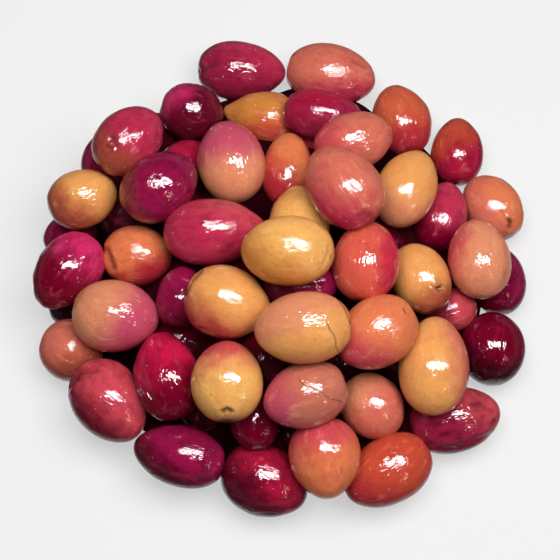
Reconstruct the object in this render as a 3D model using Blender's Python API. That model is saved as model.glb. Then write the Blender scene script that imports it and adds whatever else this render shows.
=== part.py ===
"""Heap of table olives, about three layers deep, lying as it was tipped out.

The olives that show keep their place, size and direction. Each one sinks along its line of sight until it rests on
the bed of the heap or on the olives under it, so the heights follow from how the olives cover each other. A smaller
core takes the place of the olives inside. Olives and core are one closed body, standing on a flat underside.
"""
import math
import random

import bmesh
import bpy
from mathutils import Matrix, Vector

MM = 0.001

# The view from which the olives were measured: 70 degrees above the table, 750 mm from the heap.
VIEW_HEIGHT = math.radians(70)
VIEW_DISTANCE = 750 * MM
PIXEL = 0.285 * MM
PICTURE_CENTRE = 280
MIDDLE = Vector((-0.45 * MM, -5.8 * MM, 18 * MM))
RIGHT = Vector((1, 0, 0))
UP = Vector((0, math.sin(VIEW_HEIGHT), math.cos(VIEW_HEIGHT)))
TOWARD = Vector((0, -math.cos(VIEW_HEIGHT), math.sin(VIEW_HEIGHT)))
EYE = MIDDLE + VIEW_DISTANCE * TOWARD

# The heap under the olives that show: how high its bed rises, how far it reaches, how much two olives press together.
BED_RISE = 25 * MM
BED_REACH = 56 * MM
PRESS = 0.94
FLOOR_DIP = 0.5 * MM

# Core: its foot, and how far it rises over the bed at each radius inside the foot.
CORE_FOOT = ((58 * MM, -4 * MM), (60 * MM, 3 * MM))
CORE_RADII = (54 * MM, 45 * MM, 34 * MM, 20 * MM, 7 * MM)
CORE_OVER_BED = 4.5 * MM
CORE_SIDES = 18

# Olives that only fill the pits between them, up to a little above the bed.
FILL_SEED = 13
FILL_TRIES = 4000
FILL_REACH = 61 * MM
FILL_OVER_BED = 5 * MM
FILL_LENGTH = (19 * MM, 25 * MM)
FILL_WIDTH = (14.5 * MM, 18.5 * MM)
FILL_PRESS = 1.3 * MM

OLIVE_SIDES = 12
OLIVE_RINGS = 8

# Olives from the lowest to the highest: pixel across and down, length and width in millimetres, direction of the
# tip in degrees from the right of the view, how much the tip end is drawn in.
OLIVES = (
    (150, 141, 19, 16, 40, 0.05),
    (110, 160, 20, 16, 70, 0.05),
    (72, 236, 17.5, 14, 30, 0.05),
    (75, 300, 17.5, 14, 60, 0.05),
    (499, 281, 20.5, 15.5, 92, 0.08),
    (454, 420, 26.5, 18.8, 12, 0.05),
    (388, 471, 27, 19, 210, 0.08),
    (264, 481, 25.5, 20, -22, 0.08),
    (180, 456, 26.5, 17.3, 166, 0.08),
    (71, 350, 18.5, 18, -20, 0.0),
    (109, 401, 26, 20.5, -52, 0.05),
    (241, 71, 26.5, 17.5, -3, 0.14),
    (330, 75, 27, 18.5, -10, 0.05),
    (457, 152, 21, 15.5, 86, 0.1),
    (493, 208, 21, 16.5, 125, 0.0),
    (450, 311, 16, 13, 20, 0.0),
    (492, 349, 21.5, 19, 90, 0.0),
    (254, 420, 18, 14, 100, 0.0),
    (128, 218, 17.5, 14.5, 0, 0.0),
    (180, 298, 18.5, 13.5, 80, 0.0),
    (186, 165, 17.5, 14.5, 20, 0.0),
    (300, 285, 21.5, 13.5, 5, 0.0),
    (191, 112, 18.5, 17, -15, 0.0),
    (401, 121, 22.5, 17.5, 105, 0.08),
    (128, 141, 23, 18, 45, 0.05),
    (82, 199, 20.5, 17, 20, 0.05),
    (68, 271, 24.5, 18, 232, 0.05),
    (261, 118, 21.5, 16, 168, 0.28),
    (322, 115, 23.5, 15, -6, 0.1),
    (441, 217, 21.5, 15.5, 76, 0.1),
    (159, 187, 23.5, 19, 35, 0.05),
    (137, 256, 20, 17.5, -5, 0.05),
    (167, 377, 26, 18.7, 102, 0.05),
    (325, 458, 23, 20, 275, 0.12),
    (372, 406, 20, 17.5, -50, 0.0),
    (421, 279, 21.5, 16.5, 115, 0.0),
    (479, 259, 23.5, 18, 98, 0.08),
    (353, 142, 23.5, 17, 18, 0.05),
    (287, 170, 22.5, 14.5, 85, 0.05),
    (299, 221, 20.5, 17, 92, 0.12),
    (227, 303, 24.5, 20.5, -15, 0.1),
    (366, 262, 23.5, 19, 82, 0.05),
    (406, 189, 24, 17.5, 64, 0.05),
    (115, 316, 25, 20.5, -3, 0.08),
    (227, 382, 23, 20, 90, 0.05),
    (306, 395, 24, 18.5, 199, 0.05),
    (434, 366, 28.5, 19.8, 87, 0.08),
    (377, 333, 24.5, 19.5, 213, 0.08),
    (231, 162, 24.5, 19.5, 103, 0.05),
    (214, 232, 29, 19, 3, 0.12),
    (288, 251, 26, 19.5, 180, 0.05),
    (344, 187, 26, 20.2, 128, 0.05),
    (304, 328, 27, 20, 184, 0.05),
)


def clear_scene():
    """Starts from nothing."""
    for old in list(bpy.data.objects):
        bpy.data.objects.remove(old, do_unlink=True)


def balls_along(length, width, axis):
    """Balls in a row that together fill the olive, each as an offset from its middle and a radius."""
    half, round_half = length / 2, width / 2
    stretch = max(half * half - round_half * round_half, 1e-9)
    reach = stretch / half
    row = []
    for step in range(-3, 4):
        along = reach * step / 3
        row.append((along * axis, round_half * math.sqrt(1 - along * along / stretch)))
    return row


def bed_height(spot):
    """How high the inside of the heap reaches under a spot: a dome that runs out to the table."""
    outward = spot.to_2d().length / BED_REACH
    return max(-FLOOR_DIP, BED_RISE * (1 - outward * outward))


def sink(across, down, balls, drop, there):
    """Follows the line of sight through a pixel until the olive meets the bed or an olive already there."""
    seen = MIDDLE + PIXEL * ((across - PICTURE_CENTRE) * RIGHT + (PICTURE_CENTRE - down) * UP)
    sight = (seen - EYE).normalized()
    on_table = (EYE.z - drop) / -sight.z
    travel = on_table + bed_height(EYE + on_table * sight) / sight.z
    for offset, radius in balls:
        for spot, other in there:
            gap = spot - EYE - offset
            along = gap.dot(sight)
            room = (PRESS * (radius + other)) ** 2 - (gap.length_squared - along * along)
            if room > 0:
                travel = min(travel, along - math.sqrt(room))
    return EYE + travel * sight


def lay_measured():
    """Places the olives that show, from the lowest up."""
    laid = []
    there = []
    for across, down, length, width, turn, taper in OLIVES:
        turn = math.radians(turn)
        slope = -math.atan(math.sin(turn) / math.tan(VIEW_HEIGHT))
        axis = math.cos(slope) * (math.cos(turn) * RIGHT + math.sin(turn) * UP) + math.sin(slope) * TOWARD
        balls = balls_along(length * MM, width * MM, axis)
        middle = sink(across, down, balls, width * MM / 2, there)
        there += [(middle + offset, radius) for offset, radius in balls]
        laid.append((middle, axis, length * MM, width * MM, taper))
    return laid, there


def lay_filling(laid, there):
    """Tries olives at random spots in the bed and keeps each one that still finds room."""
    dice = random.Random(FILL_SEED)
    for _ in range(FILL_TRIES):
        angle = dice.uniform(0, 2 * math.pi)
        out = FILL_REACH * math.sqrt(dice.random())
        length = dice.uniform(*FILL_LENGTH)
        width = dice.uniform(*FILL_WIDTH)
        turn = dice.uniform(0, math.pi)
        lean = dice.uniform(-0.4, 0.4)
        share = dice.random()
        axis = Vector((math.cos(turn) * math.cos(lean), math.sin(turn) * math.cos(lean), math.sin(lean)))
        middle = Vector((out * math.cos(angle), out * math.sin(angle), 0))
        middle.z = width / 2 + share * (bed_height(middle) + FILL_OVER_BED)
        if any((middle - other).length < width - 2 * FILL_PRESS for other, *_ in laid):
            continue
        balls = [(middle + offset, radius) for offset, radius in balls_along(length, width, axis)]
        if all((a - b).length > ra + rb - FILL_PRESS for a, ra in balls for b, rb in there):
            there += balls
            laid.append((middle, axis, length, width, 0.05))


def olive(number, middle, axis, length, width, taper, group):
    """One olive: a ball drawn out to its length, with the tip end a little narrower."""
    mesh = bpy.data.meshes.new(f"olive_{number:02d}")
    shape = bmesh.new()
    bmesh.ops.create_uvsphere(shape, u_segments=OLIVE_SIDES, v_segments=OLIVE_RINGS, radius=1)
    for vert in shape.verts:
        narrow = 1 - taper * vert.co.z
        vert.co = Vector((vert.co.x * narrow * width / 2, vert.co.y * narrow * width / 2, vert.co.z * length / 2))
    place = Matrix.Translation(middle) @ axis.to_track_quat("Z", "X").to_matrix().to_4x4()
    bmesh.ops.transform(shape, matrix=place, verts=shape.verts)
    shape.to_mesh(mesh)
    shape.free()
    group.objects.link(bpy.data.objects.new(mesh.name, mesh))


def core():
    """The inside of the heap: a profile that follows the bed, turned round and closed below and on top."""
    mesh = bpy.data.meshes.new("olive_heap")
    shape = bmesh.new()
    rise = [(radius, bed_height(radius * RIGHT) + CORE_OVER_BED) for radius in CORE_RADII]
    profile = [shape.verts.new((radius, 0, height)) for radius, height in (*CORE_FOOT, *rise)]
    edges = [shape.edges.new(pair) for pair in zip(profile, profile[1:])]
    bmesh.ops.spin(shape, geom=profile + edges, axis=(0, 0, 1), cent=(0, 0, 0), angle=2 * math.pi, steps=CORE_SIDES)
    bmesh.ops.remove_doubles(shape, verts=shape.verts, dist=0.01 * MM)
    bmesh.ops.holes_fill(shape, edges=[edge for edge in shape.edges if edge.is_boundary], sides=0)
    bmesh.ops.recalc_face_normals(shape, faces=shape.faces)
    shape.to_mesh(mesh)
    shape.free()
    heap = bpy.data.objects.new("olive_heap", mesh)
    bpy.context.scene.collection.objects.link(heap)
    return heap


def floor_block():
    """A block under the table top, to cut the underside flat."""
    bpy.ops.mesh.primitive_cube_add(size=1, location=(0, 0, -20 * MM))
    block = bpy.context.active_object
    block.name = "floor_block"
    block.scale = (400 * MM, 400 * MM, 40 * MM)
    bpy.ops.object.transform_apply(location=True, rotation=False, scale=True)
    return block


def apply_boolean(target, operation, **operand):
    """Joins or cuts the target for good."""
    change = target.modifiers.new(operation.lower(), "BOOLEAN")
    change.operation = operation
    for name, value in operand.items():
        setattr(change, name, value)
    bpy.context.view_layer.objects.active = target
    bpy.ops.object.modifier_apply(modifier=change.name)


def keep_one_body(target):
    """Keeps the largest closed skin: hollows sealed between the olives are filled and loose scraps go."""
    shape = bmesh.new()
    shape.from_mesh(target.data)
    left = set(shape.verts)
    bodies = []
    while left:
        body = {left.pop()}
        edge_of_body = list(body)
        while edge_of_body:
            near = {edge.other_vert(vert) for vert in edge_of_body for edge in vert.link_edges} - body
            body |= near
            edge_of_body = list(near)
        left -= body
        bodies.append(body)
    bodies.sort(key=len)
    for body in bodies:
        middle = sum((vert.co for vert in body), Vector()) / len(body)
        print("body of", len(body), "points at", [round(value / MM, 1) for value in middle])
    for body in bodies[:-1]:
        bmesh.ops.delete(shape, geom=list(body), context="VERTS")
    shape.to_mesh(target.data)
    shape.free()


clear_scene()
laid, there = lay_measured()
lay_filling(laid, there)
group = bpy.data.collections.new("olives")
bpy.context.scene.collection.children.link(group)
for number, values in enumerate(laid):
    olive(number, *values, group)

heap = core()
apply_boolean(heap, "UNION", operand_type="COLLECTION", collection=group)
for single in list(group.objects):
    bpy.data.objects.remove(single, do_unlink=True)
block = floor_block()
apply_boolean(heap, "DIFFERENCE", operand_type="OBJECT", object=block)
bpy.data.objects.remove(block, do_unlink=True)

keep_one_body(heap)

skin = bpy.data.materials.new("olive_skin")
skin.use_nodes = True
skin.node_tree.nodes["Principled BSDF"].inputs["Base Color"].default_value = (0.42, 0.1, 0.09, 1)
skin.node_tree.nodes["Principled BSDF"].inputs["Roughness"].default_value = 0.2
heap.data.materials.clear()
heap.data.materials.append(skin)
bpy.context.view_layer.update()
print(len(laid), "olives,", len(heap.data.polygons), "faces, size", [round(side / MM, 1) for side in heap.dimensions])
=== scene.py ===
# %% [markdown]
# # A heap of table olives
# About seventy table olives have been tipped out of their brine. They lie where they fell, some three
# layers deep, with no dish. They were picked at different stages: amber and peach ones are hardly ripe,
# coral and crimson ones are turning, and the wine-dark ones are ripe. All are wet, so each one carries a
# hard, torn highlight.
#
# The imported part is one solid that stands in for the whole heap. This lesson puts real, separate olives
# in its place, one mesh for each kind, over a small dark core.

# %% Load the frame
import math
import random
from dataclasses import dataclass, field

import bmesh
import bpy
from mathutils import Matrix, Vector, noise


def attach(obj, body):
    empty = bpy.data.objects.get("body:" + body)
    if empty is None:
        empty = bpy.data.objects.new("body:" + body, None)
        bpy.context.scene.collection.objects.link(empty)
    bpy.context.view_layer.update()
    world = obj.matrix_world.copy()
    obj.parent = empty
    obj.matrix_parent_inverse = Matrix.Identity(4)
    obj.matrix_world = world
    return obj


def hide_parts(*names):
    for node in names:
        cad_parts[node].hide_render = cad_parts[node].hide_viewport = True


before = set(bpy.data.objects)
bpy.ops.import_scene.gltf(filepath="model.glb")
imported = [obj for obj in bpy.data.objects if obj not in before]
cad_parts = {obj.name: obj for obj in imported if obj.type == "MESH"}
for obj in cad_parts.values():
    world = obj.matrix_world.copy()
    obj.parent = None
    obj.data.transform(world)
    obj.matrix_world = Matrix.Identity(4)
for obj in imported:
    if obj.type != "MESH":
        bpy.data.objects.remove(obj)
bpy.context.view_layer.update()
MM = 0.001

# %% [markdown]
# ## Where the heap is seen from
# The olives were measured in a picture of 560 by 560 pixels, taken from 70 degrees above the table. One
# pixel is 0.285 mm at the middle of the heap, because olives of this kind are 24 to 28 mm long. Three
# directions describe that view: to its right, up in it, and out of it towards the eye. Everything that is
# measured by pixel goes through them.

# %% The view
VIEW_HEIGHT = math.radians(70)
VIEW_DISTANCE = 750 * MM
PIXEL = 0.285 * MM
PICTURE_SIDE = 560
PICTURE_CENTRE = 280
MIDDLE = Vector((-0.45 * MM, -5.8 * MM, 18 * MM))
RIGHT = Vector((1, 0, 0))
UP = Vector((0, math.sin(VIEW_HEIGHT), math.cos(VIEW_HEIGHT)))
TOWARD = Vector((0, -math.cos(VIEW_HEIGHT), math.sin(VIEW_HEIGHT)))
EYE = MIDDLE + VIEW_DISTANCE * TOWARD


def pixel_of(point):
    """Where a point of the heap is seen, in pixels across and down."""
    from_eye = point - EYE
    scale = VIEW_DISTANCE / (-from_eye.dot(TOWARD) * PIXEL)
    across = PICTURE_CENTRE + from_eye.dot(RIGHT) * scale
    return Vector((across, PICTURE_CENTRE - from_eye.dot(UP) * scale))


print("eye at", [round(value, 3) for value in EYE])

# %% [markdown]
# ## Colours of the skin
# An olive's skin turns from green-gold over pink to nearly black, and most olives in this heap are caught
# halfway. Some two dozen named colours are enough: each olive gets a main colour and a second one that
# washes over one side of it, or over its rim.

# %% Skin colours
def srgb(red, green, blue):
    """A colour from the usual 0 to 255 scale, made linear for the shader."""
    return tuple(((value / 255 + 0.055) / 1.055) ** 2.4 if value > 10 else value / 255 / 12.92
                 for value in (red, green, blue)) + (1.0,)


SKIN = {
    "straw": srgb(236, 176, 98),
    "amber": srgb(231, 161, 91),
    "gold": srgb(204, 132, 58),
    "peach": srgb(220, 142, 104),
    "dusty": srgb(194, 112, 90),
    "orange": srgb(224, 124, 78),
    "salmon": srgb(210, 112, 92),
    "coral": srgb(214, 92, 74),
    "brick": srgb(192, 74, 50),
    "russet": srgb(160, 74, 52),
    "rose": srgb(200, 72, 84),
    "mauve": srgb(196, 76, 104),
    "ember": srgb(204, 96, 62),
    "old_rose": srgb(186, 48, 80),
    "plum": srgb(152, 32, 66),
    "raspberry": srgb(198, 26, 70),
    "cherry": srgb(176, 44, 56),
    "crimson": srgb(168, 24, 58),
    "magenta": srgb(206, 44, 104),
    "violet": srgb(146, 20, 68),
    "burgundy": srgb(112, 4, 34),
    "wine": srgb(92, 12, 34),
    # The next, near-black colour is painted shade, for olives in the gaps and for the lower sides of others.
    "shade_black": srgb(48, 6, 16),
}
RIM = "rim"
print(len(SKIN), "skin colours")

# %% [markdown]
# ## The olives that show
# One entry for each olive, from the lowest to the highest: where its middle is seen, its length and width
# in millimetres, which way its tip points in the view, how much it narrows towards the tip, its kind and
# its two colours. `side` is the direction in the view from which the second colour spreads, in degrees, or
# RIM if it closes in from all round, and `cover` says how far it comes. `tip` is how pointed the olive is,
# `pit` how deep the stem's pit is and `lumps` how uneven the skin is. A mark is a crease, a crack or a
# scar: a line of pixels, its width and depth in millimetres, and how brown it is. With a depth below zero
# it stands up as a ridge.

# %% The table of olives
USUAL_PIT = 0.3


@dataclass
class Mark:
    points: list
    width: float
    depth: float
    stain: float = 0.0


@dataclass
class Olive:
    across: float
    down: float
    length: float
    width: float
    turn: float
    taper: float
    kind: str
    main: str
    second: str
    side: object = RIM
    cover: float = 0.0
    tip: float = 0.15
    pit: float = USUAL_PIT
    lumps: float = 1.0
    marks: list = field(default_factory=list)


OLIVES = [
    # The first olive fills a gap at the back, and its near-black colour is painted shade; so is each
    # near-black wash that comes from an olive's lower side.
    Olive(150, 141, 19, 16, 40, 0.05, "wine", "shade_black", "wine", 60, -0.4),
    Olive(110, 160, 20, 16, 70, 0.05, "wine", "violet", "wine", 0, -0.2),
    Olive(72, 236, 17.5, 14, 30, 0.05, "wine", "violet", "wine", 0, 0.1),
    Olive(75, 300, 17.5, 14, 60, 0.05, "wine", "wine", "shade_black", 250),
    Olive(499, 281, 20.5, 15.5, 92, 0.08, "wine", "violet", "burgundy", 250, -0.4),
    Olive(454, 420, 26.5, 18.8, 12, 0.05, "wine", "plum", "rose", 50, -0.3,
          marks=[Mark([(420, 445), (455, 449), (490, 434)], 0.7, 0.2)]),
    Olive(388, 471, 27, 19, 210, 0.08, "coral", "brick", "cherry", 240, -0.4),
    Olive(264, 481, 25.5, 20, -22, 0.08, "wine", "crimson", "wine", 215, -0.2, lumps=1.5),
    Olive(180, 456, 26.5, 17.3, 166, 0.08, "wine", "violet", "wine", 225, -0.3, tip=0.25),
    Olive(71, 350, 18.5, 18, -20, 0.0, "peach", "salmon", "russet", 290, -0.15),
    Olive(109, 401, 26, 20.5, -52, 0.05, "crimson", "rose", "burgundy", 222, -0.3, pit=0.6,
          marks=[Mark([(70, 384), (78, 373), (95, 369)], 0.9, 0.7, 0.3),
                 Mark([(66, 392), (74, 380), (88, 377)], 0.6, 0.4, 0.2)]),
    Olive(241, 71, 26.5, 17.5, -3, 0.14, "crimson", "plum", "old_rose", 60, -0.4, lumps=1.5, tip=0.2,
          marks=[Mark([(200, 71), (206, 68), (214, 63)], 1.1, 0.6, 0.4)]),
    Olive(330, 75, 27, 18.5, -10, 0.05, "coral", "salmon", "old_rose", 275, -0.3,
          marks=[Mark([(354, 61), (360, 64), (366, 67)], 0.7, 0.4, 0.3)]),
    Olive(457, 152, 21, 15.5, 86, 0.1, "crimson", "brick", "crimson", 300, 0.1, tip=0.3),
    Olive(493, 208, 21, 16.5, 125, 0.0, "peach", "orange", "salmon", 210, lumps=1.8,
          marks=[Mark([(510, 221), (511, 224), (510, 227)], 0.8, 0.6, 0.8),
                 Mark([(502, 212), (505, 219), (510, 223)], 0.5, 0.3, 0.1)]),
    Olive(450, 311, 16, 13, 20, 0.0, "coral", "rose", "wine", 190),
    Olive(492, 349, 21.5, 19, 90, 0.0, "wine", "burgundy", "shade_black", 250, -0.3),
    Olive(254, 420, 18, 14, 100, 0.0, "wine", "burgundy", "wine", 100, -0.1),
    Olive(128, 218, 17.5, 14.5, 0, 0.0, "wine", "wine", "shade_black", 260),
    Olive(180, 298, 18.5, 13.5, 80, 0.0, "wine", "violet", "wine", 270, -0.35),
    Olive(186, 165, 17.5, 14.5, 20, 0.0, "crimson", "crimson", "wine", 240),
    Olive(300, 285, 21.5, 13.5, 5, 0.0, "wine", "violet", "wine", 200),
    Olive(191, 112, 18.5, 17, -15, 0.0, "crimson", "magenta", "wine", 320, 0.5, lumps=2.4),
    Olive(401, 121, 22.5, 17.5, 105, 0.08, "coral", "ember", "cherry", 290, -0.15, lumps=1.9),
    Olive(128, 141, 23, 18, 45, 0.05, "crimson", "old_rose", "russet", 235, -0.2, lumps=1.8,
          marks=[Mark([(112, 139), (112, 140), (113, 140)], 0.9, 0.5, 0.4),
                 Mark([(115, 146), (116, 146), (116, 147)], 0.8, 0.5, 0.4),
                 Mark([(108, 147), (109, 148), (110, 148)], 0.7, 0.4, 0.3)]),
    Olive(82, 199, 20.5, 17, 20, 0.05, "amber", "amber", "russet", 228, -0.15),
    Olive(68, 271, 24.5, 18, 232, 0.05, "crimson", "magenta", "burgundy", 228, 0.15, lumps=2.6),
    Olive(261, 118, 21.5, 16, 168, 0.28, "peach", "gold", "brick", 285, -0.15, tip=1.0, pit=0.0),
    Olive(322, 115, 23.5, 15, -6, 0.1, "crimson", "plum", "crimson", 100, -0.3, tip=0.4),
    Olive(441, 217, 21.5, 15.5, 76, 0.1, "crimson", "old_rose", "burgundy", 235, -0.15),
    Olive(159, 187, 23.5, 19, 35, 0.05, "wine", "violet", "russet", 190, -0.75, lumps=1.5, pit=0.0),
    Olive(137, 256, 20, 17.5, -5, 0.05, "coral", "orange", "cherry", 300, -0.3,
          marks=[Mark([(106, 250), (110, 258), (113, 268)], 0.9, 0.6, 0.6)]),
    Olive(167, 377, 26, 18.7, 102, 0.05, "crimson", "raspberry", "burgundy", 285, 0.15,
          marks=[Mark([(131, 352), (134, 370), (142, 388), (150, 400)], 0.5, -0.3),
                 Mark([(138, 378), (147, 396), (160, 410)], 0.45, -0.25)]),
    Olive(325, 458, 23, 20, 275, 0.12, "coral", "rose", "orange", 285, 0.3, pit=0.0),
    Olive(372, 406, 20, 17.5, -50, 0.0, "coral", "salmon", "peach", 140, -0.35),
    Olive(421, 279, 21.5, 16.5, 115, 0.0, "amber", "amber", "russet", 300, -0.35,
          marks=[Mark([(439, 289), (441, 288)], 0.8, 0.6, 0.9),
                 Mark([(431, 285), (435, 288), (439, 289)], 0.4, 0.2, 0.15)]),
    Olive(479, 259, 23.5, 18, 98, 0.08, "peach", "peach", "rose", 165, -0.65, pit=0.0, lumps=1.6),
    Olive(353, 142, 23.5, 17, 18, 0.05, "coral", "salmon", "rose", 205, -0.25),
    Olive(287, 170, 22.5, 14.5, 85, 0.05, "coral", "orange", "cherry", 230, -0.05),
    Olive(299, 221, 20.5, 17, 92, 0.12, "amber", "straw", "amber", RIM, 0.1, tip=0.5),
    Olive(227, 303, 24.5, 20.5, -15, 0.1, "amber", "amber", "cherry", 235, -0.5, tip=0.4,
          marks=[Mark([(184, 296), (189, 282), (200, 271)], 0.8, 0.5, 0.3)]),
    Olive(366, 262, 23.5, 19, 82, 0.05, "coral", "coral", "raspberry", 0, -0.45),
    Olive(406, 189, 24, 17.5, 64, 0.05, "amber", "amber", "peach", 240, -0.2, pit=0.0),
    Olive(115, 316, 25, 20.5, -3, 0.08, "peach", "peach", "mauve", 330, -0.05),
    Olive(227, 382, 23, 20, 90, 0.05, "amber", "straw", "rose", 95, -0.5, pit=0.35,
          marks=[Mark([(223, 412), (227, 410), (231, 412)], 0.8, 0.6, 0.8)]),
    Olive(306, 395, 24, 18.5, 199, 0.05, "peach", "dusty", "mauve", 195, -0.4,
          marks=[Mark([(298, 379), (304, 385), (312, 388), (320, 392), (328, 398), (335, 400), (342, 402)],
                      0.17, 0.2, 0.8)]),
    Olive(434, 366, 28.5, 19.8, 87, 0.08, "amber", "amber", "salmon", 10, -0.5, pit=0.0),
    Olive(377, 333, 24.5, 19.5, 213, 0.08, "peach", "orange", "rose", 235, -0.25,
          marks=[Mark([(404, 309), (405, 311), (406, 313)], 0.35, 0.3, 0.7)]),
    Olive(231, 162, 24.5, 19.5, 103, 0.05, "peach", "peach", "mauve", 100, -0.1, pit=0.0),
    Olive(214, 232, 29, 19, 3, 0.12, "crimson", "old_rose", "rose", 60, -0.4, pit=0.1, tip=0.5),
    Olive(288, 251, 26, 19.5, 180, 0.05, "amber", "straw", "gold", 230, -0.3, pit=0.1,
          marks=[Mark([(329, 246), (328, 254), (324, 263)], 0.5, 0.25, 0.12),
                 Mark([(331, 256), (331, 259)], 0.5, 0.2, 0.3)]),
    Olive(344, 187, 26, 20.2, 128, 0.05, "coral", "salmon", "old_rose", 250, -0.35, pit=0.25,
          marks=[Mark([(360, 217), (364, 215), (369, 216)], 1.1, 0.5, 0.4)]),
    Olive(304, 328, 27, 20, 184, 0.05, "amber", "amber", "peach", 120, -0.1,
          marks=[Mark([(327, 322), (330, 330), (334, 335), (336, 341), (336, 347), (339, 353)],
                      0.17, 0.2, 0.9),
                 Mark([(339, 298), (346, 308), (352, 324)], 0.5, 0.35, 0.3)]),
]
print(len(OLIVES), "olives measured in the view")

# %% [markdown]
# ## How the olives rest on each other
# The view gives an olive's place across and down, but not its height. A real heap has only one answer:
# each olive lies on the ones under it. The heap could be dropped by a physics simulation, but then the
# olives would roll away from where they are seen. So each one slides along its line of sight until it
# meets the bed of the heap or an olive that is already there. To find where two olives meet, each is read
# as seven balls in a row, which together fill its egg shape.

# %% Laying the olives
BED_RISE = 25 * MM
BED_REACH = 56 * MM
FLOOR_DIP = 0.5 * MM
PRESS = 0.94
BALLS_EACH_WAY = 3
LEAST_STRETCH = 1e-9


def balls_along(length, width, axis):
    """Balls in a row that together fill the olive, each as an offset from its middle and a radius."""
    half, round_half = length / 2, width / 2
    stretch = max(half * half - round_half * round_half, LEAST_STRETCH)
    reach = stretch / half
    row = []
    for step in range(-BALLS_EACH_WAY, BALLS_EACH_WAY + 1):
        along = reach * step / BALLS_EACH_WAY
        row.append((along * axis, round_half * math.sqrt(1 - along * along / stretch)))
    return row


def bed_height(spot):
    """How high the bed under the olives is at a spot: a low dome that ends just under the table."""
    outward = spot.to_2d().length / BED_REACH
    return max(-FLOOR_DIP, BED_RISE * (1 - outward * outward))


def sink(across, down, balls, drop, there):
    """Follows the line of sight through a pixel until the olive meets the bed or an olive already there."""
    seen = MIDDLE + PIXEL * ((across - PICTURE_CENTRE) * RIGHT + (PICTURE_CENTRE - down) * UP)
    sight = (seen - EYE).normalized()
    on_table = (EYE.z - drop) / -sight.z
    travel = on_table + bed_height(EYE + on_table * sight) / sight.z
    for offset, radius in balls:
        for spot, other in there:
            gap = spot - EYE - offset
            along = gap.dot(sight)
            room = (PRESS * (radius + other)) ** 2 - (gap.length_squared - along * along)
            if room > 0:
                travel = min(travel, along - math.sqrt(room))
    return EYE + travel * sight


laid = []
there = []
for olive in OLIVES:
    turn = math.radians(olive.turn)
    slope = -math.atan(math.sin(turn) / math.tan(VIEW_HEIGHT))
    axis = math.cos(slope) * (math.cos(turn) * RIGHT + math.sin(turn) * UP) + math.sin(slope) * TOWARD
    balls = balls_along(olive.length * MM, olive.width * MM, axis)
    middle = sink(olive.across, olive.down, balls, olive.width * MM / 2, there)
    there += [(middle + offset, radius) for offset, radius in balls]
    laid.append((middle, axis, olive))
print("highest olive's middle at", round(max(middle.z for middle, _, _ in laid) / MM, 1), "mm")

# %% [markdown]
# ## Olives in the pits
# Between and under the olives that show there are more. A seeded dice throws olives at random spots in
# the bed, and keeps each one that still finds room, so the pits fill unevenly, as real ones do. They are
# the riper, darker kinds, with a near-black wash over their lower side as painted shade, because little
# light reaches them and the gaps of the heap look nearly black.

# %% Filling the pits
FILL_SEED = 13
FILL_TRIES = 4000
FILL_REACH = 61 * MM
FILL_OVER_BED = 5 * MM
FILL_LENGTH = (19 * MM, 25 * MM)
FILL_WIDTH = (14.5 * MM, 18.5 * MM)
FILL_LEAN = 0.4
FILL_PRESS = 1.3 * MM
FILL_TAPER = 0.05
# The near-black wash over each filler's lower side is painted shade.
FILL_SHADE_SIDE = 270
FILL_SHADE_COVER = 0.3
FILL_LOOKS = (("wine", "wine", "shade_black"), ("crimson", "burgundy", "shade_black"), ("wine", "burgundy", "shade_black"),
              ("coral", "cherry", "shade_black"), ("crimson", "wine", "shade_black"))

dice = random.Random(FILL_SEED)
for _ in range(FILL_TRIES):
    angle = dice.uniform(0, 2 * math.pi)
    out = FILL_REACH * math.sqrt(dice.random())
    length = dice.uniform(*FILL_LENGTH)
    width = dice.uniform(*FILL_WIDTH)
    turn = dice.uniform(0, math.pi)
    lean = dice.uniform(-FILL_LEAN, FILL_LEAN)
    share = dice.random()
    axis = Vector((math.cos(turn) * math.cos(lean), math.sin(turn) * math.cos(lean), math.sin(lean)))
    middle = Vector((out * math.cos(angle), out * math.sin(angle), 0))
    middle.z = width / 2 + share * (bed_height(middle) + FILL_OVER_BED)
    if any((middle - other).length < width - 2 * FILL_PRESS for other, _, _ in laid):
        continue
    balls = [(middle + offset, radius) for offset, radius in balls_along(length, width, axis)]
    if all((a - b).length > ra + rb - FILL_PRESS for a, ra in balls for b, rb in there):
        there += balls
        look = FILL_LOOKS[len(laid) % len(FILL_LOOKS)]
        seen = pixel_of(middle)
        filler = Olive(seen.x, seen.y, length / MM, width / MM, 0, FILL_TAPER, *look,
                       side=FILL_SHADE_SIDE, cover=FILL_SHADE_COVER)
        laid.append((middle, axis, filler))
print(len(laid), "olives in all,", len(laid) - len(OLIVES), "of them in the pits")

# %% [markdown]
# ## The shape of one olive
# An olive is an egg: a ball drawn out to its length, narrower and a little pointed at the tip, with a
# shallow pit at the other end where the stem was. A turned profile would do for one, but no two are alike,
# so slow noise pushes the skin in and out by a few tenths of a millimetre. A UV sphere suits this best: its
# poles become the tip and the stem's pit, and a formula moves each of its points.

# %% The egg
SIDES = 60
RINGS = 40
TIP_FROM = 0.45
TIP_NARROWS = 0.35
TIP_ROUNDS_OFF = 0.3
TIP_REACHES = 0.05
PIT_FROM = 0.86
PIT_SINKS = 0.12
WIDE_DENTS = 1.3
WIDE_DEPTH = 0.13
LUMPS = 3.1
LUMP_DEPTH = 0.045
FINE_LUMPS = 7
FINE_DEPTH = 0.02


def smooth(value, low, high):
    """Rises gently from 0 to 1 as the value goes from low to high."""
    share = min(max((value - low) / (high - low), 0.0), 1.0)
    return share * share * (3 - 2 * share)


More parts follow.
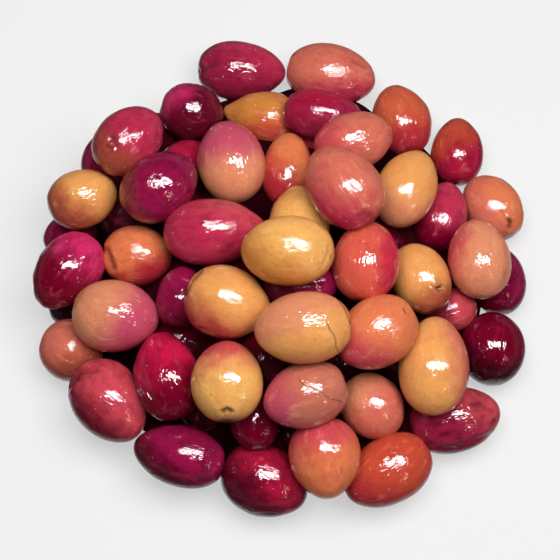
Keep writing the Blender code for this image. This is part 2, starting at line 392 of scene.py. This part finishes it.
def egg(point, olive):
    """Moves a point of a ball of radius 1, tip along +Z, to the olive's own outline in millimetres."""
    tipward = smooth(point.z, TIP_FROM, 1.0)
    drawn_in = TIP_NARROWS * olive.tip * tipward * (1 - tipward * TIP_ROUNDS_OFF)
    narrow = (1 - olive.taper * point.z) * (1 - drawn_in)
    stemward = smooth(-point.z, PIT_FROM, 1.0)
    pit = PIT_SINKS * olive.pit * stemward * stemward
    along = point.z * (1 + TIP_REACHES * olive.tip * tipward) + pit
    return Vector((point.x * narrow * olive.width / 2, point.y * narrow * olive.width / 2,
                   along * olive.length / 2))


def swell(way, own, lumps):
    """How far the skin stands out in one direction, in millimetres. Each olive has its own noise."""
    out = noise.noise(WIDE_DENTS * way + own) * WIDE_DEPTH
    out += noise.noise(LUMPS * way - own) * LUMP_DEPTH * lumps
    out += noise.noise(FINE_LUMPS * way + own) * FINE_DEPTH * lumps
    return out


print("an olive has", SIDES * (RINGS - 1) + 2, "points before its marks are cut")

# %% [markdown]
# ## Creases, cracks and scars
# Some skins have folded over at the stem end, split in the brine or healed over a scar. Painted lines would
# stay flat in the highlights, so each mark is real relief. The faces near the olive's marks are subdivided,
# once for all of them, and then pressed in along the line that was measured in the view, with a low lip on
# both sides where the skin is pushed up.

# %% Cutting the marks
MARK_CUTS = 3
MARK_SPREAD = 2.2
MARK_MARGIN = 1.2 * MM
MARK_ENDS = 4
LIP_HEIGHT = 0.25
LIP_PLACE = 1.8
STAIN_FALL = 1.4


def line_distance(spot, line):
    """How far a pixel is from a line of pixels."""
    nearest = math.inf
    for start, end in zip(line, line[1:]):
        start, end = Vector(start), Vector(end)
        run = end - start
        share = min(max((spot - start).dot(run) / run.length_squared, 0.0), 1.0)
        nearest = min(nearest, (spot - start - share * run).length)
    return nearest


def cut_marks(single, middle, marks, scar):
    """Presses creases, cracks and scars into the side of an olive that faces the view."""
    def gap(vert, mark):
        if (vert.co - middle).dot(TOWARD) < 0:
            return math.inf
        return line_distance(pixel_of(vert.co), mark.points) * PIXEL

    near = {vert for vert in single.verts
            if any(gap(vert, mark) < MARK_SPREAD * mark.width * MM + MARK_MARGIN for mark in marks)}
    edges = [edge for edge in single.edges if edge.verts[0] in near and edge.verts[1] in near]
    bmesh.ops.subdivide_edges(single, edges=edges, cuts=MARK_CUTS, use_grid_fill=True)
    for mark in marks:
        for vert in single.verts:
            away = gap(vert, mark) / (mark.width * MM)
            if away < MARK_ENDS:
                inward = (middle - vert.co).normalized()
                press = math.exp(-away * away) - LIP_HEIGHT * math.exp(-(away - LIP_PLACE) ** 2)
                vert.co += mark.depth * MM * press * inward
                vert[scar] = max(vert[scar], mark.stain * math.exp(-STAIN_FALL * away * away))


print(sum(len(olive.marks) for olive in OLIVES), "marks to cut")

# %% [markdown]
# ## What each point of the skin knows
# All olives of a kind share one mesh and one material, and yet each has its own colours. A material for each
# olive would do that too, seventy times over. Instead each point carries what is its own: the olive's two
# colours, how far the second one covers it, how brown a scar makes it, how far round its underside it lies,
# which sets its painted shade, and its place along the olive. The shader reads these six layers by name.

# %% One finished olive
COLOUR_LAYERS = ("flesh", "wash")
NUMBER_LAYERS = ("blend", "scar", "under")
PLACE_LAYERS = ("own_place",)
OWN_SPIN = 900
OWN_NOISE = 40
STEM_STAIN = 0.7
STEM_EDGE = (0.975, 0.997)
RIM_START = 0.45
# The painted shade of the underside starts a little above the olive's middle and is full halfway down.
PAINTED_SHADE_EDGE = (-0.3, 0.5)


def add_layers(shape):
    """Adds the layers that the shader reads, and gives them back by name."""
    layers = shape.verts.layers
    groups = ((layers.float_color, COLOUR_LAYERS), (layers.float, NUMBER_LAYERS),
              (layers.float_vector, PLACE_LAYERS))
    return {name: group.new(name) for group, names in groups for name in names}


def toward_second_colour(from_middle, axis, olive):
    """How far a point lies towards the second colour: 0 at the olive's middle and 1 at that side's end."""
    half = olive.width * MM / 2
    if olive.side == RIM:
        return -from_middle.dot(TOWARD) / half + RIM_START
    side = math.radians(olive.side)
    way = math.cos(side) * RIGHT + math.sin(side) * UP
    reach = math.sqrt(half ** 2 + ((olive.length * MM / 2) ** 2 - half ** 2) * axis.dot(way) ** 2)
    return from_middle.dot(way) / reach


def add_olive(shape, middle, axis, olive):
    """Adds one finished olive to the mesh of its kind, with the colours of its skin."""
    single = bmesh.new()
    layers = add_layers(single)
    scar = layers["scar"]
    bmesh.ops.create_uvsphere(single, u_segments=SIDES, v_segments=RINGS, radius=1)
    turn = axis.to_track_quat("Z", "X").to_matrix() @ Matrix.Rotation(middle.x * OWN_SPIN, 3, "Z")
    own = OWN_NOISE * middle
    for vert in single.verts:
        way = vert.co.copy()
        uneven = olive.lumps * swell(way, own, olive.lumps) * way
        vert.co = middle + turn @ (MM * (egg(way, olive) + uneven))
        vert[scar] = STEM_STAIN * min(1, olive.pit / USUAL_PIT) * smooth(-way.z, *STEM_EDGE)
    cut_marks(single, middle, olive.marks, scar)
    for vert in single.verts:
        from_middle = vert.co - middle
        vert[layers["flesh"]] = SKIN[olive.main]
        vert[layers["wash"]] = SKIN[olive.second]
        vert[layers["blend"]] = toward_second_colour(from_middle, axis, olive) + olive.cover
        # Painted shade: how far round the underside a point lies.
        vert[layers["under"]] = smooth(-from_middle.z / (olive.width * MM / 2), *PAINTED_SHADE_EDGE)
        vert[layers["own_place"]] = turn.inverted() @ from_middle + own
    finished = bpy.data.meshes.new("single_olive")
    single.to_mesh(finished)
    single.free()
    shape.from_mesh(finished)
    bpy.data.meshes.remove(finished)


print("layers at each point:", ", ".join(COLOUR_LAYERS + NUMBER_LAYERS + PLACE_LAYERS))

# %% [markdown]
# ## Shader maths in plain Python
# A skin needs a good deal of arithmetic on textures. Nodes could be added and linked one by one, in pages
# of code. Here one small class wraps a socket, so that `1 - mask * 0.5` adds the Math nodes by itself, and
# one method adds any other node with its settings and inputs.

# %% A socket that can count
class Wire:
    """An output socket, with + - * and clamping as nodes."""

    def __init__(self, tree, socket=None):
        self.tree = tree
        self.socket = socket

    def node(self, kind, settings=None, **inputs):
        """Adds a node of any type, sets it, and fills its sockets by name or, as in0, by number."""
        made = self.tree.nodes.new(kind)
        for name, value in (settings or {}).items():
            setattr(made, name, value)
        for name, value in inputs.items():
            socket = made.inputs[int(name[2:]) if name[2:].isdigit() else name]
            if isinstance(value, Wire):
                self.tree.links.new(value.socket, socket)
            else:
                socket.default_value = value
        return made

    def out(self, made, name=0):
        """One output of a node, ready to count with."""
        return Wire(self.tree, made.outputs[name])

    def feed(self, shader, name):
        """Links this socket to an input of a shader node."""
        self.tree.links.new(self.socket, shader.inputs[name])

    def maths(self, operation, first, second, clamp=False):
        return self.out(self.node("ShaderNodeMath", {"operation": operation, "use_clamp": clamp},
                                  in0=first, in1=second))

    def __add__(self, other):
        return self.maths("ADD", self, other)

    __radd__ = __add__

    def __sub__(self, other):
        return self.maths("SUBTRACT", self, other)

    def __rsub__(self, other):
        return self.maths("SUBTRACT", other, self)

    def __mul__(self, other):
        return self.maths("MULTIPLY", self, other)

    __rmul__ = __mul__

    def clamped(self):
        """The same value, kept between 0 and 1."""
        return self.maths("ADD", self, 0.0, clamp=True)

    def step(self, low, high):
        """A smooth rise from 0 to 1 between two values, or a fall if low is above high."""
        low_out, high_out = (0.0, 1.0) if low < high else (1.0, 0.0)
        return self.out(self.node("ShaderNodeMapRange", {"interpolation_type": "SMOOTHSTEP"}, in0=self,
                                  in1=min(low, high), in2=max(low, high), in3=low_out, in4=high_out))

    def mix(self, share, first, second):
        """Colour mixing: first where share is 0, second where it is 1."""
        made = self.node("ShaderNodeMix", {"data_type": "RGBA"}, in0=share, in6=first, in7=second)
        return self.out(made, 2)

    def noise(self, place, scale=1.0, detail=2.0, roughness=0.5, stretch=None, warp=0.0):
        """Noise with `scale` waves a metre, or with as many as `stretch` says along X, Y and Z."""
        if stretch:
            place = self.out(self.node("ShaderNodeMapping", Vector=place, Scale=stretch))
        return self.out(self.node("ShaderNodeTexNoise", Vector=place, Scale=scale, Detail=detail,
                                  Roughness=roughness, Distortion=warp))

    def layer(self, name, output="Fac"):
        """Reads one of the layers that each point carries."""
        return self.out(self.node("ShaderNodeAttribute", {"attribute_name": name}), output)


print("shader helper ready")

# %% [markdown]
# ## The five kinds of skin
# Amber skins, the least ripe, are blotched and specked with brown. The others are blotched with red, the
# darker the riper they are, and their specks are pale: partly the pores of an olive, partly painted glints
# of the lamp. All have fine pale streaks along their length, partly lines in the skin and partly painted
# glints. The darkest colour of a kind is the painted shade of the underside, and also the colour of the
# grain. The shares go from 0 to 1, and a speck's size is a share of the distance between specks. `relief`
# is the height of the fine wrinkles in millimetres, and `gloss` the roughness of the wet film.

# %% What sets the kinds apart
@dataclass
class Finish:
    blotch: tuple
    blotch_share: float
    shade_and_grain: tuple
    speck_and_glint: tuple
    speck_share: float
    speck_size: float
    streak_and_glint: tuple
    relief: float
    gloss: float = 0.03


FINISHES = {
    "amber": Finish(blotch=srgb(200, 112, 64), blotch_share=0.2, shade_and_grain=srgb(146, 22, 38),
                    speck_and_glint=srgb(160, 84, 44), speck_share=0.5, speck_size=0.15,
                    streak_and_glint=srgb(248, 202, 134), relief=0.19),
    "peach": Finish(blotch=srgb(196, 88, 84), blotch_share=0.24, shade_and_grain=srgb(138, 24, 52),
                    speck_and_glint=srgb(238, 186, 150), speck_share=0.5, speck_size=0.15,
                    streak_and_glint=srgb(244, 184, 150), relief=0.19),
    "coral": Finish(blotch=srgb(176, 50, 56), blotch_share=0.28, shade_and_grain=srgb(136, 22, 38),
                    speck_and_glint=srgb(240, 158, 120), speck_share=0.5, speck_size=0.15,
                    streak_and_glint=srgb(244, 158, 124), relief=0.2),
    "crimson": Finish(blotch=srgb(120, 10, 42), blotch_share=0.4, shade_and_grain=srgb(92, 2, 26),
                      speck_and_glint=srgb(236, 146, 146), speck_share=0.6, speck_size=0.13,
                      streak_and_glint=srgb(214, 84, 100), relief=0.18),
    "wine": Finish(blotch=srgb(66, 4, 26), blotch_share=0.45, shade_and_grain=srgb(48, 2, 16),
                   speck_and_glint=srgb(216, 120, 140), speck_share=0.55, speck_size=0.11,
                   streak_and_glint=srgb(166, 44, 84), relief=0.17),
}
print("kinds:", ", ".join(FINISHES))

# %% [markdown]
# ## The colour of a skin
# The colour is patchy on every scale. The second colour washes over the first with a torn edge. The
# underside is painted darker, and on the paler kinds redder: painted shade, because the olives below it
# keep the light away, with painted red light thrown back by its neighbours. Then come soft blotches drawn
# out along the olive, grain, specks and thin streaks; the pale specks and streaks are partly pores and
# lines of the skin and partly painted glints. Each is one mask that mixes in one colour. A painted texture
# could hold all this for one olive, but masks give every olive its own skin. Scars are brown.

# %% Skin colour
PORES = 430
TORN_BY_PATCHES = 0.9
TORN_BY_CLOUDS = 0.35
TORN_EDGE = 0.42
# How strongly the painted shade of the underside darkens the skin.
PAINTED_SHADE_STRENGTH = 0.9
PATCH_SHARE = 0.6
GRAIN_SHARE = 0.08
STREAK_SHARE = 0.22
SPECK_CORE = 0.45
SCAR_BROWN = (0.06, 0.011, 0.008, 1.0)


def pore_cells(wire, place):
    """Cells of about 2.3 mm: how far a point is from its cell's middle, and one throw of dice a cell."""
    cell = wire.node("ShaderNodeTexVoronoi", {"feature": "F1"}, Vector=place, Scale=PORES, Randomness=1.0)
    throw = wire.out(wire.node("ShaderNodeSeparateColor", in0=wire.out(cell, "Color")))
    return wire.out(cell, "Distance"), throw


def skin_colour(wire, place, pore, throw, finish):
    """The whole colour of one kind, from the two colours of each olive."""
    flesh, wash = wire.layer("flesh", "Color"), wire.layer("wash", "Color")
    lengthwise = wire.layer("own_place", "Vector")
    patch = wire.noise(place, scale=130, detail=4, roughness=0.6)
    cloud = wire.noise(place, scale=320, detail=3, roughness=0.6)
    torn = wire.layer("blend") + (patch - 0.5) * TORN_BY_PATCHES + (cloud - 0.5) * TORN_BY_CLOUDS
    colour = wire.mix(torn.step(-TORN_EDGE, TORN_EDGE), flesh, wash)
    # Painted shade: the underside is mixed towards the kind's darkest colour.
    under = (wire.layer("under") + (cloud - 0.5) * 0.5).step(0.0, 1.0)
    colour = wire.mix(under * PAINTED_SHADE_STRENGTH, colour, finish.shade_and_grain)
    blotches = wire.noise(lengthwise, detail=5, roughness=0.65, stretch=(360, 360, 230)).step(0.44, 0.68)
    patches = patch.step(0.48, 0.66) * finish.blotch_share * PATCH_SHARE
    colour = wire.mix((blotches * finish.blotch_share + patches).clamped(), colour, finish.blotch)
    grain = wire.noise(place, scale=1000, detail=3, roughness=0.7).step(0.4, 0.65)
    colour = wire.mix(grain * GRAIN_SHARE, colour, finish.shade_and_grain)
    # Pale specks are partly the pores of the skin and partly painted glints of the lamp.
    specks_and_glints = pore.step(finish.speck_size, finish.speck_size * SPECK_CORE) * throw.step(0.45, 0.65)
    colour = wire.mix(specks_and_glints * finish.speck_share, colour, finish.speck_and_glint)
    # Pale streaks are partly fine lines in the skin and partly painted glints.
    streaks = wire.noise(lengthwise, detail=3, roughness=0.6, stretch=(420, 420, 90)).step(0.56, 0.7)
    colour = wire.mix(streaks * STREAK_SHARE, colour, finish.streak_and_glint)
    return wire.mix(wire.layer("scar").clamped(), colour, SCAR_BROWN)


print("pores", round(1 / PORES / MM, 1), "mm apart")

# %% [markdown]
# ## The wet film
# Brine leaves a film that is almost a mirror, and it follows every wrinkle of the skin below. Fine relief,
# too small to see by itself, tears the edges of the lamp's reflection, and that is what makes an olive look
# wet rather than glazed. Wrinkles run along the olive and are bent by warped noise. They are a bump: as
# mesh they would need millions of faces. Under the film the flesh is waxy, so a little constant
# subsurface lets light in and out again, warmer. Scars and smears are less glossy.

# %% Gloss and relief
SMEAR_ROUGH = 0.06
SCAR_ROUGH = 0.12
WRINKLE_SHARE = 0.8
PORE_SHARE = 0.16
FLESH_SHARE = 0.12
FLESH_DEPTH = 2.2 * MM
FLESH_REACH = (1.0, 0.35, 0.22)
FILM_IOR = 1.46


def skin_gloss(wire, place, finish):
    """The roughness of the wet film, higher on smears and scars."""
    smears = wire.noise(place, scale=160, detail=3, roughness=0.6).step(0.5, 0.8)
    return finish.gloss + SMEAR_ROUGH * smears + SCAR_ROUGH * wire.layer("scar")


def skin_relief(wire, place, pore, throw, finish):
    """Slow waves, wrinkles along the olive and a few small pits, as one bump."""
    waves = wire.noise(place, scale=300, detail=1, roughness=0.5)
    wrinkles = wire.noise(wire.layer("own_place", "Vector"), detail=1, roughness=0.6,
                          stretch=(800, 800, 360), warp=1.6)
    pits = pore.step(0.3, 0.05) * throw.step(0.3, 0.5)
    height = waves + wrinkles * WRINKLE_SHARE + pits * PORE_SHARE
    return wire.out(wire.node("ShaderNodeBump", Strength=1.0, Distance=finish.relief * MM, Height=height))


def skin_material(kind, finish):
    """One finish for a kind of olive; its two colours come with each olive's own skin."""
    material = bpy.data.materials.new(f"{kind}_skin")
    material.use_nodes = True
    shader = material.node_tree.nodes["Principled BSDF"]
    wire = Wire(material.node_tree)
    place = wire.out(wire.node("ShaderNodeTexCoord"), "Object")
    pore, throw = pore_cells(wire, place)
    skin_colour(wire, place, pore, throw, finish).feed(shader, "Base Color")
    skin_gloss(wire, place, finish).feed(shader, "Roughness")
    skin_relief(wire, place, pore, throw, finish).feed(shader, "Normal")
    shader.inputs["Subsurface Weight"].default_value = FLESH_SHARE
    shader.inputs["Subsurface Radius"].default_value = FLESH_REACH
    shader.inputs["Subsurface Scale"].default_value = FLESH_DEPTH
    shader.inputs["Specular IOR Level"].default_value = 0.5
    shader.inputs["IOR"].default_value = FILM_IOR
    return material


skins = {kind: skin_material(kind, finish) for kind, finish in FINISHES.items()}
print("skins:", ", ".join(material.name for material in skins.values()))

# %% [markdown]
# ## One piece for each kind
# Loose things that lie about are kept as one mesh for each kind. Seventy objects would be slow to handle,
# and in one mesh for all the finishes would have to be dealt out face by face. Every olive of a kind is
# added to one bmesh, with the six layers that carry its colours, marks and place to the shader.

# %% The olives of each kind
def finish_piece(shape, name, material):
    """Makes an object of a mesh in place, smooth, riding on the heap's body."""
    bmesh.ops.recalc_face_normals(shape, faces=shape.faces)
    for face in shape.faces:
        face.smooth = True
    mesh = bpy.data.meshes.new(name)
    shape.to_mesh(mesh)
    shape.free()
    mesh.materials.append(material)
    piece = bpy.data.objects.new(name, mesh)
    bpy.context.scene.collection.objects.link(piece)
    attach(piece, "root")
    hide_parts("olive_heap")
    return piece


for kind, material in skins.items():
    shape = bmesh.new()
    add_layers(shape)
    of_this_kind = [(middle, axis, olive) for middle, axis, olive in laid if olive.kind == kind]
    for middle, axis, olive in of_this_kind:
        add_olive(shape, middle, axis, olive)
    piece = finish_piece(shape, f"{kind}_olives", material)
    print(len(of_this_kind), kind, "olives,", len(piece.data.polygons), "faces")

# %% [markdown]
# ## The core
# The middle of the heap is never seen. A low mound fills it, so that no light falls through the gaps. It
# could be some twenty more olives, but nobody would see them. It is a turned profile that follows the bed
# of the heap. Its foot reaches as far as the middles of the lowest olives and draws back in the gaps
# between them, so that only a little of it shows from the side. Round swells, as far apart as olives, make
# it pass for one more layer.

# %% The core's shape
CORE_WIDEST = 58.5 * MM
CORE_FOOT = ((57 * MM, 0.2 * MM), (CORE_WIDEST, 2 * MM), (CORE_WIDEST, 4.5 * MM), (57 * MM, 6.5 * MM),
             (54 * MM, 7.5 * MM))
CORE_RADII = (45 * MM, 36 * MM, 24 * MM, 8 * MM)
CORE_OVER_BED = 1 * MM
CORE_STEPS = 48
CORE_CUTS = 4
LOW_OLIVES = 15 * MM
FOOT_INSET = 0.5 * MM
FOOT_DENT = 0.15
FOOT_FOLLOWS = (30 * MM, 50 * MM)
SWELL_HEIGHT = 3.5 * MM
SWELL_APART = 18 * MM
SWELL_STEEP = 3
SWELL_STARTS = (0.5 * MM, 3 * MM)


def outer_middles(angle):
    """How far out the lowest olives' middles lie in one direction, less in the gaps between them."""
    way = Vector((math.cos(angle), math.sin(angle), 0))
    return max(spot.dot(way) - FOOT_DENT * abs(spot.cross(way).z)
               for spot, _ in there if spot.z < LOW_OLIVES)


shape = bmesh.new()
rise = [(radius, bed_height(radius * RIGHT) + CORE_OVER_BED) for radius in CORE_RADII]
profile = [shape.verts.new((radius, 0, height)) for radius, height in (*CORE_FOOT, *rise)]
edges = [shape.edges.new(pair) for pair in zip(profile, profile[1:])]
bmesh.ops.spin(shape, geom=profile + edges, axis=(0, 0, 1), cent=(0, 0, 0), angle=2 * math.pi,
               steps=CORE_STEPS, use_merge=True)
bmesh.ops.holes_fill(shape, edges=[edge for edge in shape.edges if edge.is_boundary], sides=0)
top = max(shape.faces, key=lambda face: face.calc_center_median().z)
bmesh.ops.poke(shape, faces=[top])
bmesh.ops.subdivide_edges(shape, edges=shape.edges, cuts=CORE_CUTS, use_grid_fill=True)
for vert in shape.verts:
    outward = smooth(vert.co.to_2d().length, *FOOT_FOLLOWS)
    share = min(1, (outer_middles(math.atan2(vert.co.y, vert.co.x)) - FOOT_INSET) / CORE_WIDEST)
    vert.co.xy *= 1 + (share - 1) * outward
bmesh.ops.recalc_face_normals(shape, faces=shape.faces)
shape.normal_update()
swells = []
for vert in shape.verts:
    distances, _ = noise.voronoi(vert.co / SWELL_APART)
    roundness = max(0, 1 - SWELL_STEEP * distances[0] ** 2)
    swells.append(SWELL_HEIGHT * roundness * smooth(vert.co.z, *SWELL_STARTS) * vert.normal)
for vert, bulge in zip(shape.verts, swells):
    vert.co += bulge
print("core:", len(shape.faces), "faces")

# %% [markdown]
# ## The colour of the core
# The deepest gaps of the heap end in the near black of wet olives in the dark. A glossy core would catch
# the lamp and betray itself, so this finish is dull and almost black, with patches a little redder: it is
# painted shade, for olives deep in the dark.

# %% The core's finish
# Painted shade: near black, with redder patches.
CORE_SHADE_BLACK = srgb(24, 3, 8)
CORE_SHADE_RED = srgb(52, 6, 16)

core_material = bpy.data.materials.new("shaded_core")
core_material.use_nodes = True
core_shader = core_material.node_tree.nodes["Principled BSDF"]
core_wire = Wire(core_material.node_tree)
core_place = core_wire.out(core_wire.node("ShaderNodeTexCoord"), "Object")
core_patches = core_wire.noise(core_place, scale=60, detail=3).step(0.4, 0.6)
core_wire.mix(core_patches, CORE_SHADE_BLACK, CORE_SHADE_RED).feed(core_shader, "Base Color")
core_shader.inputs["Roughness"].default_value = 1.0
core_shader.inputs["Specular IOR Level"].default_value = 0.0
core = finish_piece(shape, "heap_core", core_material)
print("finish of the core:", core.data.materials[0].name)

# %% [markdown]
# ## Table
# The heap lies on a plain pale table. Lit by the lamps alone it would grow darker towards its edges and
# carry a strong shadow, so much of its paleness is a glow of its own. It is left out of bounced light and
# gloss, because a pale table would wash out the dark undersides that give the heap its depth.

# %% Table
TABLE_SIDE = 3
TABLE_PAINT = (0.32, 0.32, 0.32, 1)
TABLE_GLOW = (0.53, 0.53, 0.53, 1)

bpy.ops.mesh.primitive_plane_add(size=TABLE_SIDE)
table = bpy.context.active_object
table.name = "table"
table_material = bpy.data.materials.new("pale_table")
table_material.use_nodes = True
paint = table_material.node_tree.nodes["Principled BSDF"].inputs
paint["Base Color"].default_value = TABLE_PAINT
paint["Emission Color"].default_value = TABLE_GLOW
paint["Emission Strength"].default_value = 1.0
paint["Roughness"].default_value = 1.0
paint["Specular IOR Level"].default_value = 0.0
table.data.materials.append(table_material)
table.visible_diffuse = False
table.visible_glossy = False
print("table:", table.name)

# %% [markdown]
# ## Lamps
# Wet olives show the lamps as mirrors do, so light and highlight are set apart. A wide softbox overhead
# gives the light and is kept out of the gloss. A smaller one, nearer the heap, is seen in the gloss alone:
# it makes the white highlight near the top of every olive. With one lamp for both, either the shading
# would be hard or the highlights far too large. A thin warm lamp, low on the right, adds the second, tiny
# highlight.

# %% Lamps
def area_light(name, place, size, power, colour, spreads=True, glints=True):
    """A flat lamp that faces the heap, its long side level. It can be left out of the light or the gloss."""
    light = bpy.data.lights.new(name, "AREA")
    light.shape = "RECTANGLE"
    light.size, light.size_y = size
    light.energy = power
    light.color = colour
    lamp = bpy.data.objects.new(name, light)
    away = (Vector(place) - MIDDLE).normalized()
    level = (RIGHT - RIGHT.dot(away) * away).normalized()
    facing = Matrix((level, away.cross(level), away)).transposed().to_4x4()
    lamp.matrix_world = Matrix.Translation(place) @ facing
    lamp.visible_diffuse = spreads
    lamp.visible_glossy = glints
    bpy.context.scene.collection.objects.link(lamp)
    print(name, "of", power, "W")


area_light("softbox", place=(0.10, -0.02, 0.72), size=(0.8, 0.5), power=7.6,
           colour=(1.0, 0.99, 0.98), glints=False)
area_light("softbox_glint", place=(0.12, 0.01, 0.58), size=(0.43, 0.115), power=10.2,
           colour=(1.0, 0.985, 1.0), spreads=False)
area_light("warm_lamp", place=(0.52, -0.46, 0.38), size=(0.035, 0.15), power=0.7,
           colour=(1.0, 0.84, 0.62), spreads=False)

# %% [markdown]
# ## The room
# What a wet skin mirrors besides the lamps is the room. It is dark overhead, or the ripe olives would turn
# grey. A pale strip stands at the horizon, and the ground is pale straight below, so that the olives' outer
# edges catch thin bright rims. The room is a few smooth steps on how steeply a ray goes up, which is cheaper
# than walls.

# %% The room
HORIZON = (0.34, 0.31, 0.34, 1.0)
OVERHEAD = (0.012, 0.012, 0.014, 1.0)
BELOW = (0.1, 0.06, 0.065, 1.0)
UNDERFOOT = (0.75, 0.7, 0.72, 1.0)

world = bpy.data.worlds.new("pale_room")
world.use_nodes = True
room = Wire(world.node_tree)
ray = room.out(room.node("ShaderNodeTexCoord"), "Generated")
way_up = room.out(room.node("ShaderNodeSeparateXYZ", in0=ray), "Z")
walls = room.mix(way_up.step(0.0, 0.22), HORIZON, OVERHEAD)
walls = room.mix(way_up.step(-0.25, 0.0), BELOW, walls)
walls = room.mix(way_up.step(-0.65, -0.9), walls, UNDERFOOT)
background = world.node_tree.nodes["Background"]
walls.feed(background, "Color")
background.inputs["Strength"].default_value = 1.0
bpy.context.scene.world = world
bpy.context.scene.view_settings.view_transform = "Standard"
print("room:", world.name)

# %% [markdown]
# ## Camera
# The camera stands at the eye from which the olives were measured. Its lens is worked out from the distance
# and the size of a pixel, so that each olive falls on the pixel that its line in the table names.

# %% Camera
SENSOR_WIDTH = 36
NEAREST = 0.01

camera_data = bpy.data.cameras.new("camera")
camera_data.sensor_width = SENSOR_WIDTH
camera_data.lens = SENSOR_WIDTH * VIEW_DISTANCE / (PICTURE_SIDE * PIXEL)
camera_data.clip_start = NEAREST
camera_data.dof.use_dof = False
camera = bpy.data.objects.new("camera", camera_data)
camera.location = EYE
camera.rotation_euler = TOWARD.to_track_quat("Z", "Y").to_euler()
bpy.context.scene.collection.objects.link(camera)
bpy.context.scene.camera = camera
print("lens", round(camera_data.lens, 1), "mm")
